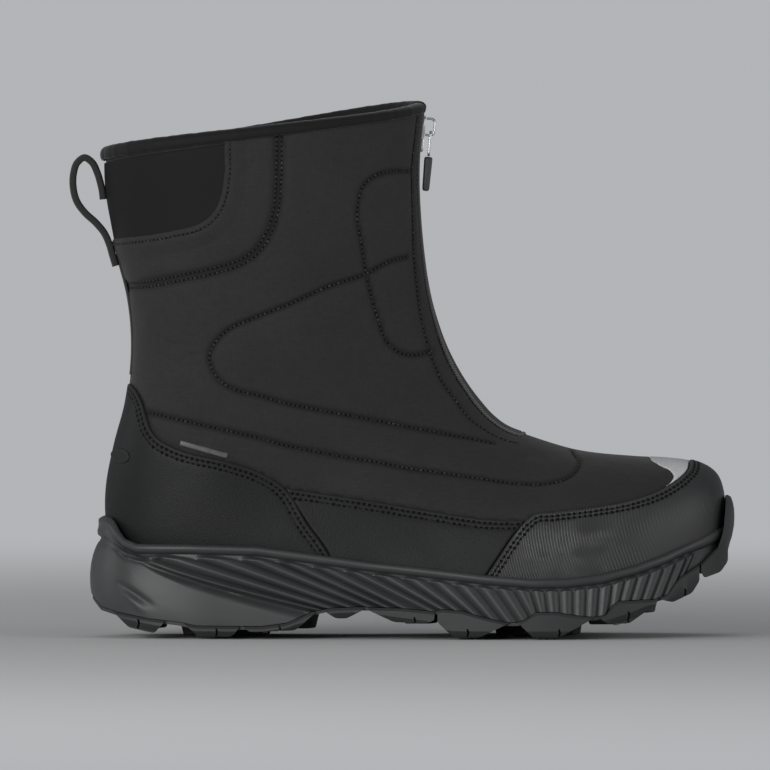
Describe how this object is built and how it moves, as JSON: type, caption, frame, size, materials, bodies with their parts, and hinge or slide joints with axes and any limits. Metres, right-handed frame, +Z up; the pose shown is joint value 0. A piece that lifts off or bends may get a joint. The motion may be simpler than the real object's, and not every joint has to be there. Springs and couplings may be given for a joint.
{
  "type": "winter boot",
  "caption": "Ankle-high winter boot with a front zip, a padded shaft, a tall cushioned midsole and a lugged outsole with steel studs.",
  "frame": {"origin": "middle of the bounding box, on the floor that the stud tips stand on", "axes": "+X from heel to toe, +Y to the wearer's left, which is the inner side of this right boot, +Z up"},
  "size_m": [0.3122, 0.1146, 0.2505],
  "materials": {
    "quilted_fabric": "matt charcoal quilted softshell",
    "smooth_fabric": "smooth dark fabric",
    "coated_synthetic": "satin coated synthetic",
    "textured_rubber": "finely ribbed rubber",
    "sole_rubber": "satin moulded rubber",
    "webbing": "ribbed webbing",
    "bright_metal": "bright satin steel",
    "grey_rubber": "soft grey rubber",
    "reflective": "silver grey reflective film",
    "dark_felt": "dark felt"
  },
  "bodies": {
    "boot": {"upper": "quilted_fabric", "collar_binding": "quilted_fabric", "zip_tape": "smooth_fabric", "collar_patch": "smooth_fabric", "heel_counter": "coated_synthetic", "side_band_outer": "coated_synthetic", "side_band_inner": "coated_synthetic", "heel_badge": "coated_synthetic", "toe_cap": "textured_rubber", "midsole": "sole_rubber", "outsole": "sole_rubber", "insole": "dark_felt", "backstay": "webbing", "pull_loop": "webbing", "zip_teeth": "bright_metal", "zip_slider": "bright_metal", "toe_reflector": "reflective", "side_tag": "reflective", "stud_01": "bright_metal", "stud_02": "bright_metal", "stud_03": "bright_metal", "stud_04": "bright_metal", "stud_05": "bright_metal", "stud_06": "bright_metal", "stud_07": "bright_metal", "stud_08": "bright_metal", "stud_09": "bright_metal", "stud_10": "bright_metal", "stud_11": "bright_metal", "stud_12": "bright_metal", "stud_13": "bright_metal", "stud_14": "bright_metal", "stud_15": "bright_metal", "stud_16": "bright_metal"},
    "pull_tab": {"zip_pull": "bright_metal", "pull_sleeve": "grey_rubber"}
  },
  "joints": [
    {"name": "pull_swing", "type": "hinge", "parent": "boot", "child": "pull_tab", "pos_m": [0.01303, 0.00036, 0.23631], "axis": [0, -1, 0], "range_deg": [0, 160]}
  ]
}
